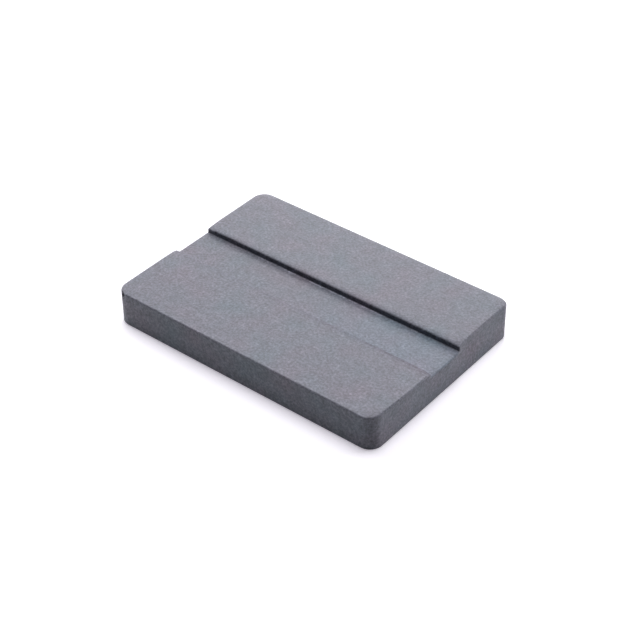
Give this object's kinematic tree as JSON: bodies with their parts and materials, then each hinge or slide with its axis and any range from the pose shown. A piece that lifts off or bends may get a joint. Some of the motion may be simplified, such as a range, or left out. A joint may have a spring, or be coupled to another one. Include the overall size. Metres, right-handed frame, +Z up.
{
  "type": "ferrite i core",
  "caption": "Flat ferrite plate with rounded corners and a shallow clip groove along its top, used to close the magnetic path of a planar E core.",
  "frame": {"origin": "middle of the flat underside", "axes": "+X along the groove and the plate's length, +Y across the plate, +Z up out of the groove"},
  "size_m": [0.022, 0.0156, 0.0026],
  "materials": {
    "ferrite": "matte sintered"
  },
  "bodies": {
    "root": {"i_core": "ferrite"}
  },
  "joints": []
}
